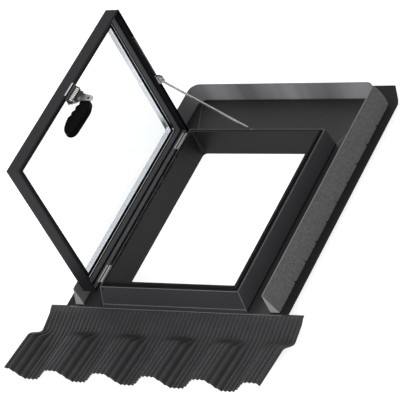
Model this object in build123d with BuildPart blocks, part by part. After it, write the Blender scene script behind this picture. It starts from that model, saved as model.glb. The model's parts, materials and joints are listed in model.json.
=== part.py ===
# Side-hung glazed roof hatch with curb, flashing tray and pleated apron, drawn with the sash open.
# X runs across the roof, Y up the slope and Z out of the roof, with zero at the flange underside.
import math
import os

from build123d import *

os.makedirs("parts", exist_ok=True)

# Clearances, and how far a cut runs past the face it opens
overrun = 5.0
screw_clearance = 0.1
pin_clearance = 0.05
knuckle_gap = 0.3
stay_gap = 0.4

# Levels
floor_top = 3.0
curb_bottom = -28.0
ledge_top = 65.0

# Curb
curb_base_width = 480.0
curb_top_width = 460.0
front_run = 20.0
curb_half_length = 305.0
lip_inset = 16.4
lip_width = 6.0
lip_height = 5.6
lining_flare = 9.2
lining_corner = 3.0
groove_width = 4.4
groove_depth = 5.0
gasket_height = 10.6

# Front cover and sill strip
cover_sheet = 1.2
cover_screw_inset = 7.5
cover_screw_drop = 8.0
sill_sheet = 1.0
sill_upturn = 10.0
sill_inset = 1.0
sill_depth = 6.0
sill_half_width = 355.0

# Flashing tray, flange and foam
tray_sheet = 1.0
tray_half_width = 311.0
gutter_back = 179.0
tray_corner = 24.0
upstand_top = 66.7
upstand_lean = 3.0
upstand_setback = 6.0
flange_sheet = 2.0
flange_side_margin = 60.0
flange_back_margin = 57.0
flange_lap = 26.0
flange_corner_insets = [(0, 75.0), (7.0, 57.0), (40.0, 0)]
batten_half_x = 361.0
batten_half_y = 260.0
batten_hole_radius = 1.25
foam_base = 29.0
foam_tip = 1.5
foam_top = 64.5
foam_end_setback = 7.0
foam_round = 18.0
foam_back_setback = 31.0
foam_notch_pitch = 73.4
foam_notch_first = -208.0
foam_notch_width = 9.0
foam_notch_depth = 5.0
foam_notch_height = 14.0
foam_notch_count = 9

# Pleated apron: runs are measured down the slope from the foot of the front cover
apron_side_margin = 51.0
apron_sheet = 1.5
apron_wave_pitch = 163.5
apron_wave_height = 41.5
apron_roll_start = -9.0
apron_roll_shares = (0.4, 0.55, 0.83)
apron_pleats_per_wave = 12
apron_pleat_depth = 5.4
apron_edge_pleat = 0.3
apron_flat_run = 7.0
apron_pleat_run = 25.0
apron_dip_run = 80.0
apron_full_run = 138.0
apron_end_run = 270.0
apron_dip_level = -10.0
apron_full_level = -9.0
apron_end_level = 5.0
apron_rise_shares = [0.2, 0.4, 0.6, 0.8]

# Sash, measured from its weather face (depth) and its outer edge (inset)
sash_width = 476.0
sash_overlap = 8.5
sash_weather_closed = 91.0
hinge_offset = 4.5
hinge_z = 46.5
skirt_depth = 44.5
skirt_sheet = 1.5
rail_flange = 40.0
rail_flange_sheet = 2.0
rail_box = 26.0
rail_depth = 19.6
pane_inset = 27.0
pane_thickness = 3.0
pane_gap = 10.0
spacer_inset = 30.0
spacer_width = 6.0
bead_top_width = 1.0
bead_width = 2.5
glazing_gasket_width = 4.5
glazing_gasket_height = 1.5

# Hinges
hinge_ys = {"lower": -248.0, "upper": 268.0}
hinge_length = 62.0
knuckle_radius = 4.5
knuckle_length = 21.0
pin_radius = 2.5
leaf_sheet = 1.5
frame_leaf_sheet = 2.0
frame_leaf_bottom = 20.0
frame_leaf_top = 42.0
frame_leaf_arm = 6.0
sash_leaf_width = 13.5
leaf_screw_spacing = 40.0
leaf_screw_z = 27.0
rivet_inset = 7.0

# Screws and rivets
screw_head_radius = 3.0
screw_head_height = 1.0
screw_shank_radius = 1.5
screw_length = 9.0
rivet_radius = 2.0
rivet_height = 0.6

# Stay: positions along the sash from its hinge edge, and from the weather face
stay_pivot_along = 207.5
stay_pivot_depth = 52.0
stay_plate_sheet = 1.4
stay_plate_start = 190.0
stay_plate_end = 372.0
stay_plate_depth = 38.0
stay_plate_width = 6.0
stay_ear_width = 27.0
stay_eye_radius = 8.0
stay_eye_sheet = 3.0
stay_eye_gap = 3.3
stay_rod_thickness = 4.0
stay_rod_width = 7.5
stay_rod_start = 6.0
stay_hook_radius = 2.2
stay_rod_length = 281.0
stay_rod_drop_angle = 42.8
stay_hook_gap = 1.1
stay_pin_gap = 1.5
socket_sheet = 0.8
socket_width = 30.0
socket_height = 22.0
socket_x = -24.0
socket_radius = 3.0

# Handle: outlines run as (depth, y) in the lever's plane
handle_inset = 42.0
lever_sheet = 3.0
lever_outline = [
    (37.0, -14.0), (45.0, -15.5), (54.5, -10.0), (59.0, -3.0), (72.0, -6.0), (72.0, -60.0),
    (90.0, -60.0), (90.0, -9.0), (95.0, -6.0), (97.5, 0), (97.0, 7.0), (92.5, 13.5), (86.0, 16.5),
    (66.0, 20.0), (57.0, 24.0), (51.0, 29.5), (45.0, 29.0), (40.0, 18.0), (37.0, 2.0),
]
lever_round = 2.0
lever_hole = (82.5, 5.0)
lever_hole_radius = 3.2
lever_stud = (43.0, -11.5)
lever_stud_radius = 2.5
lever_stud_reach = 12.0
handle_pivot = (47.0, 8.0)
handle_pin_radius = 4.0
handle_pin_head_radius = 6.5
handle_pin_head = 2.0
grip_half_thickness = 10.0
grip_centre = (88.0, -74.0)
grip_layer_shares = [(1, 0.92, 0.97), (0.8, 0.98, 0.99), (0.5, 1, 1)]
grip_outline = [
    (66.0, -11.5), (101.0, -11.5), (107.5, -27.0), (111.0, -38.0), (112.5, -50.0), (111.5, -93.0),
    (110.5, -117.0), (108.0, -129.0), (102.0, -136.0), (92.0, -138.0), (80.0, -134.0), (72.5, -124.0),
    (67.0, -110.0), (63.5, -97.0), (60.5, -79.0), (66.0, -70.0), (62.5, -57.5), (69.5, -48.5),
    (65.0, -36.0), (73.0, -26.0),
]
bracket_back_reach = 8.0
bracket_front_reach = 16.5
bracket_sheet = 3.0
bracket_gap = 0.5
bracket_outline = [
    (20.0, -13.0), (35.0, -13.0), (52.0, -4.0), (56.0, 8.0), (55.0, 22.0), (45.0, 36.0), (36.0, 37.5),
    (30.0, 46.0), (20.0, 46.0),
]
bracket_base_ys = (-13.0, 46.0)
strip_ys = (-27.0, 22.0)
strip_width = 5.0
strip_sheet = 0.8
keeper_ys = (-2.5, 13.5)
keeper_sheet = 2.0
keeper_plate = (21.0, 41.0)
keeper_tab_top = 33.2
keeper_tab_reach = 12.0
keeper_tab_sheet = 3.0

# Levels and faces that follow from the sizes above
curb_half_base = curb_base_width / 2
curb_half_top = curb_top_width / 2
curb_front_base = curb_half_length + front_run
curb_rise = ledge_top - floor_top
lip_top = ledge_top + lip_height
lip_half_x = curb_half_top - lip_inset
lip_half_y = curb_half_length - lip_inset
lining_angle = math.degrees(math.atan2(lining_flare, lip_top - curb_bottom))
front_slant = math.hypot(curb_rise, front_run)
front_setback = cover_sheet * front_slant / curb_rise
tray_bottom = floor_top - tray_sheet
tray_back = curb_half_length + gutter_back
upstand_front = curb_front_base - upstand_setback
flange_half_width = tray_half_width + flange_side_margin
flange_back = tray_back + flange_back_margin
foam_end = tray_back - foam_end_setback
foam_back_half = tray_half_width - foam_back_setback
apron_half_width = flange_half_width + apron_side_margin
lean_share = upstand_lean / (upstand_top - tray_bottom)
lean_angle = math.degrees(math.atan(lean_share))
sash_half = curb_half_length + sash_overlap
sash_length = 2 * sash_half
hinge_x = -curb_half_base - hinge_offset
weather_x = hinge_x - (sash_weather_closed - hinge_z)
hinge_end_z = hinge_z - sash_width / 2 - hinge_x
handle_along = sash_width - handle_inset
pane_back = rail_flange_sheet + pane_thickness + pane_gap + pane_thickness
skirt_inner_y = sash_half - skirt_sheet
stay_eye_y = curb_half_length + stay_eye_gap


def left_face(z):
    # The curb's leaning left face at height z
    return -curb_half_top - (curb_half_base - curb_half_top) * (ledge_top - z) / curb_rise


def lining_face(z):
    # The right lining at height z
    return lip_half_x + lining_flare * (lip_top - z) / (lip_top - curb_bottom)


def across(y):
    # A plane across the roof at y: local x is X, local y is Z
    return Plane(origin=(0, y, 0), x_dir=(1, 0, 0), z_dir=(0, -1, 0))


def sash_layer(depth):
    # A plane parallel to the open sash: local x runs from the hinge to the free edge
    return Plane(
        origin=(weather_x + depth, 0, hinge_end_z + sash_width / 2), x_dir=(0, 0, 1), z_dir=(1, 0, 0)
    )


def handle_layer(along):
    # A plane square to the open sash: local x is the depth and local y is Y
    return Plane(origin=(weather_x, 0, hinge_end_z + along), x_dir=(1, 0, 0), z_dir=(0, 0, 1))


def save(part, name):
    part.label = name
    export_step(part, f"parts/{name}.step")


# Places of the screws, each on the face its head sits on
cover_face = Plane(
    origin=(0, -curb_front_base, floor_top), x_dir=(1, 0, 0), z_dir=(0, -curb_rise, front_run)
)
cover_screw_x = curb_half_top - cover_screw_inset
cover_screw_up = front_slant - cover_screw_drop
cover_screw_planes = [
    Plane(cover_face.from_local_coords((x, cover_screw_up, 0)), z_dir=cover_face.z_dir)
    for x in (-cover_screw_x, cover_screw_x)
]
left_normal = Vector(-curb_rise, 0, curb_half_base - curb_half_top).normalized()
leaf_screw_face = Vector(left_face(leaf_screw_z), 0, leaf_screw_z) + left_normal * frame_leaf_sheet
leaf_screw_planes = [
    Plane(leaf_screw_face + Vector(0, y + side * leaf_screw_spacing / 2, 0), z_dir=left_normal)
    for y in hinge_ys.values()
    for side in (-1, 1)
]


def screw_holes(planes):
    with BuildPart() as holes:
        for plane in planes:
            with BuildSketch(plane):
                Circle(screw_shank_radius + screw_clearance)
            extrude(amount=-screw_length - overrun / 2)
    return holes.part


def screws(planes):
    with BuildPart() as group:
        for plane in planes:
            with BuildSketch(plane):
                Circle(screw_head_radius)
            extrude(amount=screw_head_height)
            with BuildSketch(plane):
                Circle(screw_shank_radius)
            extrude(amount=-screw_length)
    return group.part


cover_holes = screw_holes(cover_screw_planes)
leaf_holes = screw_holes(leaf_screw_planes)

# Moulded curb: leaning outer walls, ledge, gasket groove, inner lip and flared lining
with BuildPart() as frame_curb:
    with BuildSketch(Plane.XY.offset(curb_bottom)):
        with Locations((0, (curb_half_length - curb_front_base) / 2)):
            Rectangle(curb_base_width, curb_half_length + curb_front_base)
    extrude(amount=floor_top - curb_bottom)
    front_base = curb_front_base - front_setback
    front_top = curb_half_length - front_setback
    with BuildSketch(Plane.XY.offset(floor_top)):
        with Locations((0, (curb_half_length - front_base) / 2)):
            Rectangle(curb_base_width, curb_half_length + front_base)
    with BuildSketch(Plane.XY.offset(ledge_top)):
        with Locations((0, (curb_half_length - front_top) / 2)):
            Rectangle(curb_top_width, curb_half_length + front_top)
    loft(ruled=True)
    with BuildSketch(Plane.XY.offset(ledge_top)):
        Rectangle(2 * (lip_half_x + lip_width), 2 * (lip_half_y + lip_width))
    extrude(amount=lip_height)
    with BuildSketch(Plane.XY.offset(ledge_top)):
        groove_half_x = lip_half_x + lip_width + groove_width
        groove_half_y = lip_half_y + lip_width + groove_width
        Rectangle(2 * groove_half_x, 2 * groove_half_y)
        Rectangle(2 * (lip_half_x + lip_width), 2 * (lip_half_y + lip_width), mode=Mode.SUBTRACT)
    extrude(amount=-groove_depth, mode=Mode.SUBTRACT)
    with BuildSketch(Plane(origin=(0, 0, lip_top), x_dir=(1, 0, 0), z_dir=(0, 0, -1))):
        RectangleRounded(2 * lip_half_x, 2 * lip_half_y, lining_corner)
    extrude(amount=lip_top - curb_bottom, taper=-lining_angle, mode=Mode.SUBTRACT)
    add(cover_holes, mode=Mode.SUBTRACT)
    add(leaf_holes, mode=Mode.SUBTRACT)
save(frame_curb.part, "frame_curb")

# Rubber seal standing in the groove
with BuildPart() as curb_gasket:
    with BuildSketch(Plane.XY.offset(ledge_top - groove_depth)):
        Rectangle(2 * groove_half_x, 2 * groove_half_y)
        Rectangle(2 * (lip_half_x + lip_width), 2 * (lip_half_y + lip_width), mode=Mode.SUBTRACT)
    extrude(amount=gasket_height)
save(curb_gasket.part, "curb_gasket")

# Sheet cover on the curb's front, standing on the step of the curb's foot
with BuildPart() as front_cover:
    with BuildSketch(cover_face):
        foot = cover_sheet * front_run / curb_rise
        foot_half = curb_half_base - (curb_half_base - curb_half_top) * foot / front_slant
        Polygon(
            (-foot_half, foot),
            (foot_half, foot),
            (curb_half_top, front_slant),
            (-curb_half_top, front_slant),
            align=None,
        )
    extrude(amount=-cover_sheet)
    add(cover_holes, mode=Mode.SUBTRACT)
save(front_cover.part, "front_cover")
save(screws(cover_screw_planes), "front_cover_screws")

# Folded strip over the apron's top edge, turned up against the cover
with BuildPart() as sill_strip:
    with BuildSketch(Plane.XY.offset(floor_top)):
        with Locations((0, -curb_front_base - sill_depth / 2)):
            Rectangle(2 * sill_half_width, sill_depth)
    extrude(amount=sill_sheet)
    with BuildSketch(cover_face):
        upturn_half = curb_half_base - sill_inset
        upturn_top = upturn_half - (curb_half_base - curb_half_top) * sill_upturn / front_slant
        Polygon(
            (-upturn_half, 0),
            (upturn_half, 0),
            (upturn_top, sill_upturn),
            (-upturn_top, sill_upturn),
            align=None,
        )
    extrude(amount=sill_sheet)
save(sill_strip.part, "sill_strip")

# Pressed tray: gutter floor on three sides of the curb and a leaning upstand round it
with BuildPart() as flashing_tray:
    tray_front = curb_front_base + overrun
    for level, sheet, mode in ((tray_bottom, tray_sheet, Mode.ADD), (floor_top, 0, Mode.SUBTRACT)):
        half = tray_half_width + sheet
        with BuildSketch(Plane.XY.offset(level)):
            with Locations((0, (tray_back + sheet - tray_front) / 2)):
                Rectangle(2 * half, tray_back + sheet + tray_front)
            fillet(vertices().group_by(Axis.Y)[-1], tray_corner + sheet)
        extrude(amount=upstand_top - tray_bottom, taper=-lean_angle, mode=mode)
    with BuildSketch(Plane.XY.offset(floor_top)):
        with Locations((0, -upstand_front - tray_front / 2)):
            Rectangle(3 * tray_half_width, tray_front)
    extrude(amount=upstand_top, mode=Mode.SUBTRACT)
    with BuildSketch(Plane.XY):
        with Locations((0, -curb_front_base - tray_front / 2)):
            Rectangle(3 * tray_half_width, tray_front)
        with Locations((0, (curb_half_length - tray_front) / 2)):
            Rectangle(curb_base_width, curb_half_length + tray_front)
    extrude(amount=upstand_top, mode=Mode.SUBTRACT)
save(flashing_tray.part, "flashing_tray")

# Outer flange below the tray, open round the curb, with the batten screw holes
with BuildPart() as flange_collar:
    with BuildSketch(Plane.XY):
        right_edge = [(flange_half_width, -curb_front_base)]
        right_edge += [(flange_half_width - x, flange_back - y) for x, y in flange_corner_insets]
        Polygon(*right_edge, *[(-x, y) for x, y in reversed(right_edge)], align=None)
        inner_half = tray_half_width - flange_lap
        with Locations((0, (tray_back - flange_lap) / 2 - curb_front_base)):
            Rectangle(2 * inner_half, tray_back - flange_lap + 2 * curb_front_base, mode=Mode.SUBTRACT)
        with GridLocations(2 * batten_half_x, 2 * batten_half_y, 2, 2):
            Circle(batten_hole_radius, mode=Mode.SUBTRACT)
    extrude(amount=flange_sheet)
save(flange_collar.part, "flange_collar")


def foam_section(face):
    # Wedge leaning on the upstand's outer face, as (distance, height)
    height = foam_top - flange_sheet
    return [
        (face, flange_sheet),
        (face + foam_base, flange_sheet),
        (face + lean_share * height + foam_tip, foam_top),
        (face + lean_share * height, foam_top),
    ]


def side_foam(side):
    face = tray_half_width + tray_sheet
    with BuildPart() as wedge:
        with BuildSketch(across(foam_end)):
            Polygon(*[(side * x, z) for x, z in foam_section(face)], align=None)
        extrude(amount=foam_end + upstand_front)
        with BuildSketch(Plane.XY):
            with Locations((side * (face + foam_base / 2), (foam_end - upstand_front) / 2)):
                Rectangle(foam_base, foam_end + upstand_front)
            fillet(vertices().group_by(Axis.Y)[-1].sort_by(Axis.X)[-1 if side > 0 else 0], foam_round)
        extrude(amount=upstand_top, mode=Mode.INTERSECT)
        tip = side * (face + foam_base)
        for index in range(foam_notch_count):
            y = foam_notch_first + index * foam_notch_pitch
            with BuildSketch(Plane.XY):
                Polygon(
                    (tip + side * overrun, y - foam_notch_width),
                    (tip + side * overrun, y + foam_notch_width),
                    (tip - side * foam_notch_depth, y),
                    align=None,
                )
            extrude(amount=foam_notch_height, mode=Mode.SUBTRACT)
    return wedge.part


save(side_foam(-1), "foam_left")
save(side_foam(1), "foam_right")

with BuildPart() as foam_back:
    with BuildSketch(Plane(origin=(-foam_back_half, 0, 0), x_dir=(0, 1, 0), z_dir=(1, 0, 0))):
        Polygon(*foam_section(tray_back + tray_sheet), align=None)
    extrude(amount=2 * foam_back_half)
save(foam_back.part, "foam_back")


def tile_wave(x):
    # Height share of the tile roll at x: it rises, keeps a flat crest, falls and keeps a flat trough
    phase = (x - apron_roll_start) / apron_wave_pitch % 1
    crest_share, fall_share, trough_share = apron_roll_shares
    if phase < crest_share:
        return (1 - math.cos(math.pi * phase / crest_share)) / 2
    if phase < fall_share:
        return 1
    if phase < trough_share:
        return (1 + math.cos(math.pi * (phase - fall_share) / (trough_share - fall_share))) / 2
    return 0


def apron_section(level, wave_share, pleat_depth):
    step = apron_wave_pitch / apron_pleats_per_wave / 2
    count = 2 * round(apron_half_width / step)
    top = []
    for index in range(count + 1):
        x = -apron_half_width + 2 * apron_half_width * index / count
        z = level + wave_share * apron_wave_height * tile_wave(x) - pleat_depth * (index % 2)
        top.append((x, z))
    return top + [(x, z - apron_sheet) for x, z in reversed(top)]


# Stations down the slope: flat top edge, pleats, dip, then the tile rolls swell to full height
apron_fall_share = (apron_pleat_run - apron_flat_run) / (apron_dip_run - apron_flat_run)
apron_stations = [
    (0, floor_top, 0, apron_edge_pleat),
    (apron_flat_run, floor_top, 0, apron_edge_pleat),
    (apron_pleat_run, floor_top + apron_fall_share * (apron_dip_level - floor_top), 0, apron_pleat_depth),
    (apron_dip_run, apron_dip_level, 0, apron_pleat_depth),
]
for share in apron_rise_shares:
    run = apron_dip_run + share * (apron_full_run - apron_dip_run)
    level = apron_dip_level + share * (apron_full_level - apron_dip_level)
    swell_share = share * share * (3 - 2 * share)
    apron_stations.append((run, level, swell_share, apron_pleat_depth))
apron_stations.append((apron_full_run, apron_full_level, 1, apron_pleat_depth))
apron_stations.append((apron_end_run, apron_end_level, 1, apron_pleat_depth))

with BuildPart() as apron_pleated:
    for run, level, wave_share, pleat_depth in apron_stations:
        with BuildSketch(across(-curb_front_base - run)):
            Polygon(*apron_section(level, wave_share, pleat_depth), align=None)
    loft(ruled=True)
save(apron_pleated.part, "apron_pleated")


def sash_member(side, outline, width, depth):
    # One side of the sash: an (inset, depth) outline run along its edge and mitred at both ends
    low, high = hinge_end_z, hinge_end_z + sash_width
    corner, inward, run_dir, run = {
        "hinge": ((weather_x, -sash_half, low), (0, 0, 1), (0, 1, 0), sash_length),
        "free": ((weather_x, sash_half, high), (0, 0, -1), (0, -1, 0), sash_length),
        "top": ((weather_x, sash_half, low), (0, -1, 0), (0, 0, 1), sash_width),
        "bottom": ((weather_x, -sash_half, high), (0, 1, 0), (0, 0, -1), sash_width),
    }[side]
    with BuildPart() as member:
        with BuildSketch(Plane(origin=corner, x_dir=inward, z_dir=run_dir)):
            Polygon(*outline, align=None)
        extrude(amount=run)
        with BuildSketch(Plane(origin=corner, x_dir=inward, z_dir=(-1, 0, 0))):
            Polygon((0, 0), (0, run), (width, run - width), (width, width), align=None)
        extrude(amount=-depth, mode=Mode.INTERSECT)
    return member.part


rail_outline = [
    (0, 0),
    (rail_flange, 0),
    (rail_flange, rail_flange_sheet),
    (rail_box, rail_flange_sheet),
    (rail_box, rail_depth),
    (skirt_sheet, rail_depth),
    (skirt_sheet, skirt_depth),
    (0, skirt_depth),
]
bead_outline = [
    (rail_box, pane_back),
    (rail_box + bead_width, pane_back),
    (rail_box + bead_top_width, rail_depth),
    (rail_box, rail_depth),
]
sash_nodes = {
    "top": "sash_rail_top",
    "bottom": "sash_rail_bottom",
    "hinge": "sash_stile_hinge",
    "free": "sash_stile_free",
}
for side, name in sash_nodes.items():
    save(sash_member(side, rail_outline, rail_flange, skirt_depth), name)
    save(sash_member(side, bead_outline, rail_flange, skirt_depth), f"bead_{side}")


def sash_ring(depth, thickness, outer_inset, inner_inset):
    with BuildPart() as ring:
        with BuildSketch(sash_layer(depth)):
            Rectangle(sash_width - 2 * outer_inset, sash_length - 2 * outer_inset)
            if inner_inset:
                inner_width = sash_width - 2 * inner_inset
                inner_length = sash_length - 2 * inner_inset
                Rectangle(inner_width, inner_length, mode=Mode.SUBTRACT)
        extrude(amount=thickness)
    return ring.part


# Sealed double pane and the seal inside the beads
spacer_depth = rail_flange_sheet + pane_thickness
gasket_inset = rail_box + bead_width
save(sash_ring(rail_flange_sheet, pane_thickness, pane_inset, 0), "outer_pane")
save(sash_ring(spacer_depth, pane_gap, spacer_inset, spacer_inset + spacer_width), "spacer_bar")
save(sash_ring(spacer_depth + pane_gap, pane_thickness, pane_inset, 0), "inner_pane")
save(
    sash_ring(pane_back, glazing_gasket_height, gasket_inset, gasket_inset + glazing_gasket_width),
    "glazing_gasket",
)


def frame_leaf(y):
    # Plate on the curb's left face with two arms that carry the outer knuckles
    end_length = (hinge_length - knuckle_length) / 2 - knuckle_gap
    end_y = (hinge_length - end_length) / 2
    arm_low = frame_leaf_top - frame_leaf_arm
    with BuildPart() as leaf:
        with BuildSketch(across(y)):
            Polygon(
                (left_face(frame_leaf_bottom), frame_leaf_bottom),
                (left_face(frame_leaf_top), frame_leaf_top),
                (left_face(frame_leaf_top) - frame_leaf_sheet, frame_leaf_top),
                (left_face(frame_leaf_bottom) - frame_leaf_sheet, frame_leaf_bottom),
                align=None,
            )
        extrude(amount=hinge_length / 2, both=True)
        for side in (-1, 1):
            with BuildSketch(across(y + side * end_y)):
                Polygon(
                    (left_face(frame_leaf_top), frame_leaf_top),
                    (left_face(arm_low), arm_low),
                    (hinge_x, hinge_z - knuckle_radius),
                    (hinge_x + knuckle_radius, hinge_z),
                    align=None,
                )
                with Locations((hinge_x, hinge_z)):
                    Circle(knuckle_radius)
            extrude(amount=end_length / 2, both=True)
        with BuildSketch(across(y)):
            with Locations((hinge_x, hinge_z)):
                Circle(pin_radius + pin_clearance)
        extrude(amount=hinge_length, both=True, mode=Mode.SUBTRACT)
        add(leaf_holes, mode=Mode.SUBTRACT)
    return leaf.part


def sash_leaf(y):
    # Strip on the skirt's inner face, wrapped round its edge to the middle knuckle
    edge_x = weather_x + skirt_depth
    inner_z = hinge_end_z + skirt_sheet
    with BuildPart() as leaf:
        with BuildSketch(across(y)):
            Polygon(
                (edge_x - sash_leaf_width, inner_z),
                (edge_x + leaf_sheet, inner_z),
                (edge_x + leaf_sheet, inner_z + leaf_sheet),
                (edge_x - sash_leaf_width, inner_z + leaf_sheet),
                align=None,
            )
        extrude(amount=hinge_length / 2, both=True)
        with BuildSketch(across(y)):
            Polygon(
                (edge_x, hinge_z),
                (edge_x + leaf_sheet, hinge_z),
                (edge_x + leaf_sheet, inner_z + leaf_sheet),
                (edge_x, inner_z + leaf_sheet),
                align=None,
            )
            with Locations((hinge_x, hinge_z)):
                Circle(knuckle_radius)
                Circle(pin_radius + pin_clearance, mode=Mode.SUBTRACT)
        extrude(amount=knuckle_length / 2, both=True)
    return leaf.part


for place, y in hinge_ys.items():
    save(frame_leaf(y), f"hinge_{place}_frame_leaf")
    save(sash_leaf(y), f"hinge_{place}_sash_leaf")
save(screws(leaf_screw_planes), "hinge_frame_screws")

with BuildPart() as hinge_pins:
    for y in hinge_ys.values():
        with BuildSketch(across(y)):
            with Locations((hinge_x, hinge_z)):
                Circle(pin_radius)
        extrude(amount=hinge_length / 2, both=True)
save(hinge_pins.part, "hinge_pins")

# Flat rivet heads on the sash leaves
with BuildPart() as hinge_sash_rivets:
    with BuildSketch(Plane.XY.offset(hinge_end_z + skirt_sheet + leaf_sheet)):
        for y in hinge_ys.values():
            with Locations((weather_x + skirt_depth - rivet_inset, y)):
                with GridLocations(0, leaf_screw_spacing, 1, 2):
                    Circle(rivet_radius)
    extrude(amount=rivet_height)
save(hinge_sash_rivets.part, "hinge_sash_rivets")

# Stay: plate with an ear inside the top rail's skirt, its pin, and the rod
stay_pivot_x = weather_x + stay_pivot_depth
stay_pivot_z = hinge_end_z + stay_pivot_along
with BuildPart() as stay_plate:
    with BuildSketch(across(skirt_inner_y)):
        plate_x = weather_x + stay_plate_depth
        plate_mid = hinge_end_z + (stay_plate_start + stay_plate_end) / 2
        with Locations((plate_x + stay_plate_width / 2, plate_mid)):
            Rectangle(stay_plate_width, stay_plate_end - stay_plate_start)
        with Locations(((plate_x + stay_pivot_x) / 2, stay_pivot_z)):
            Rectangle(stay_pivot_x - plate_x, stay_ear_width)
        with Locations((stay_pivot_x, stay_pivot_z)):
            Circle(stay_ear_width / 2)
            Circle(pin_radius, mode=Mode.SUBTRACT)
    extrude(amount=stay_plate_sheet)
save(stay_plate.part, "stay_plate")

with BuildPart() as stay_pivot_pin:
    with BuildSketch(across(skirt_inner_y)):
        with Locations((stay_pivot_x, stay_pivot_z)):
            Circle(pin_radius)
    extrude(amount=skirt_inner_y - curb_half_length - stay_pin_gap)
save(stay_pivot_pin.part, "stay_pivot_pin")

with BuildPart() as stay_rod:
    drop = math.radians(stay_rod_drop_angle)
    along = Vector(math.cos(drop), 0, -math.sin(drop))
    pivot = Vector(stay_pivot_x, stay_eye_y, stay_pivot_z)
    rod_end = pivot + along * stay_rod_length
    with BuildSketch(Plane(pivot + along * stay_rod_start, x_dir=(0, 1, 0), z_dir=along)):
        Rectangle(stay_rod_thickness, stay_rod_width)
    extrude(amount=stay_rod_length - stay_rod_start)
    with BuildSketch(across(stay_eye_y)):
        with Locations((pivot.X, pivot.Z)):
            Circle(stay_eye_radius)
    extrude(amount=stay_eye_sheet / 2, both=True)
    with BuildSketch(across(stay_eye_y)):
        with Locations((rod_end.X, rod_end.Z)):
            Circle(stay_rod_width / 2)
    extrude(amount=stay_rod_thickness / 2, both=True)
    with BuildSketch(across(stay_eye_y)):
        with Locations((rod_end.X, rod_end.Z)):
            Circle(stay_hook_radius)
    extrude(amount=stay_eye_gap - stay_hook_gap)
    with BuildSketch(across(stay_eye_y)):
        with Locations((pivot.X, pivot.Z)):
            Circle(pin_radius + pin_clearance)
    extrude(amount=stay_eye_radius, both=True, mode=Mode.SUBTRACT)
save(stay_rod.part, "stay_rod")

# Socket plate for the rod's end, flat on the curb's back
with BuildPart() as stay_socket:
    with BuildSketch(across(curb_half_length + socket_sheet)):
        with Locations((socket_x, ledge_top - socket_height / 2)):
            RectangleRounded(socket_width, socket_height, socket_radius)
            Circle(stay_hook_radius + stay_gap, mode=Mode.SUBTRACT)
    extrude(amount=socket_sheet)
save(stay_socket.part, "stay_socket")

# Handle: bracket on the free stile's bead, flat lever with its pin, and the moulded grip
with BuildPart() as handle_bracket:
    cheek_along = handle_along - lever_sheet / 2 - bracket_gap - bracket_sheet
    with BuildSketch(handle_layer(handle_along - bracket_back_reach)):
        low_y, high_y = bracket_base_ys
        with Locations((rail_depth + bracket_sheet / 2, (low_y + high_y) / 2)):
            Rectangle(bracket_sheet, high_y - low_y)
    extrude(amount=bracket_back_reach + bracket_front_reach)
    with BuildSketch(handle_layer(cheek_along)):
        Polygon(*bracket_outline, align=None)
        with Locations(handle_pivot):
            Circle(handle_pin_radius, mode=Mode.SUBTRACT)
    extrude(amount=bracket_sheet)
save(handle_bracket.part, "handle_bracket")

with BuildPart() as handle_pivot_pin:
    with BuildSketch(handle_layer(cheek_along)):
        with Locations(handle_pivot):
            Circle(handle_pin_radius)
    extrude(amount=bracket_sheet + 2 * bracket_gap + lever_sheet)
    with BuildSketch(handle_layer(handle_along + lever_sheet / 2 + bracket_gap)):
        with Locations(handle_pivot):
            Circle(handle_pin_head_radius)
    extrude(amount=handle_pin_head)
save(handle_pivot_pin.part, "handle_pivot_pin")

with BuildPart() as handle_lever:
    with BuildSketch(handle_layer(handle_along)):
        Polygon(*lever_outline, align=None)
        fillet(vertices(), lever_round)
        with Locations(handle_pivot):
            Circle(handle_pin_radius + pin_clearance, mode=Mode.SUBTRACT)
        with Locations(lever_hole):
            Circle(lever_hole_radius, mode=Mode.SUBTRACT)
    extrude(amount=lever_sheet / 2, both=True)
    with BuildSketch(handle_layer(handle_along)):
        with Locations(lever_stud):
            Circle(lever_stud_radius)
    extrude(amount=lever_stud_reach)
save(handle_lever.part, "handle_lever")


def grip_section(depth_share, length_share):
    centre_depth, centre_y = grip_centre
    return [
        (centre_depth + depth_share * (depth - centre_depth), centre_y + length_share * (y - centre_y))
        for depth, y in grip_outline
    ]


with BuildPart() as handle_grip:
    grip_layers = [(-level, depth, length) for level, depth, length in grip_layer_shares]
    grip_layers += grip_layer_shares[::-1]
    for level_share, depth_share, length_share in grip_layers:
        with BuildSketch(handle_layer(handle_along + level_share * grip_half_thickness)):
            Polygon(*grip_section(depth_share, length_share), align=None)
    loft(ruled=True)
    with BuildSketch(handle_layer(handle_along)):
        Polygon(*lever_outline, align=None)
        fillet(vertices(), lever_round)
    extrude(amount=lever_sheet / 2, both=True, mode=Mode.SUBTRACT)
save(handle_grip.part, "handle_grip")

# Steel strip on the free stile's skirt, and the keeper for the lever's stud on the right lining
with BuildPart() as catch_strip:
    with BuildSketch(Plane.XY.offset(hinge_end_z + sash_width)):
        with Locations((weather_x + skirt_depth - strip_width / 2, sum(strip_ys) / 2)):
            Rectangle(strip_width, strip_ys[1] - strip_ys[0])
    extrude(amount=strip_sheet)
save(catch_strip.part, "catch_strip")

with BuildPart() as keeper:
    plate_low, plate_high = keeper_plate
    tab_low = keeper_tab_top - keeper_tab_sheet
    tab_tip = lining_face(keeper_tab_top) - keeper_tab_reach
    with BuildSketch(across(sum(keeper_ys) / 2)):
        Polygon(
            (lining_face(plate_low), plate_low),
            (lining_face(plate_high), plate_high),
            (lining_face(plate_high) - keeper_sheet, plate_high),
            (lining_face(plate_low) - keeper_sheet, plate_low),
            align=None,
        )
        Polygon(
            (lining_face(tab_low), tab_low),
            (lining_face(keeper_tab_top), keeper_tab_top),
            (tab_tip, keeper_tab_top),
            (tab_tip, tab_low),
            align=None,
        )
    extrude(amount=(keeper_ys[1] - keeper_ys[0]) / 2, both=True)
save(keeper.part, "keeper")
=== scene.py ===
import json
import math

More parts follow.
